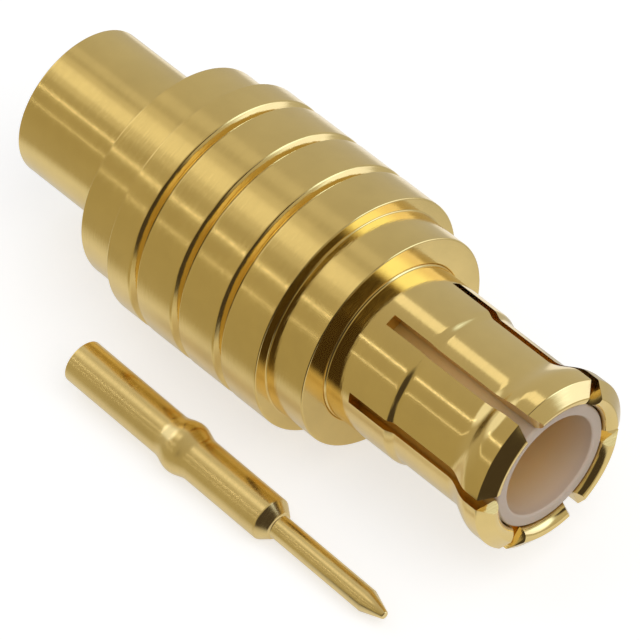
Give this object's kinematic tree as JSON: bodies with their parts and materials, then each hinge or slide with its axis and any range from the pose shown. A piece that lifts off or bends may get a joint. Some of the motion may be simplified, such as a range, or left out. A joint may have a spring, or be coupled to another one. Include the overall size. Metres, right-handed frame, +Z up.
{
  "type": "mcx connector",
  "caption": "Straight gold-plated coaxial plug for thin semi-rigid cable, with grooved body, slotted snap contact and loose centre pin.",
  "frame": {"origin": "on the plug's axis, in the plane of the flange's front face, where the spring contact's root begins", "axes": "+X along the plug's axis towards the mating end, +Z up; the plug and its loose centre contact lie on a surface at z = -2.65 mm"},
  "size_m": [0.0135, 0.0066, 0.0052],
  "materials": {
    "body_gold": "gold plated brass, satin turned",
    "spring_gold": "gold plated spring alloy, bright turned",
    "ptfe": "white fluoropolymer, slightly translucent, satin",
    "pin_gold": "gold plated brass, bright turned"
  },
  "bodies": {
    "root": {"connector_body": "body_gold", "spring_outer_contact": "spring_gold", "insulator": "ptfe", "centre_contact": "pin_gold"}
  },
  "joints": []
}
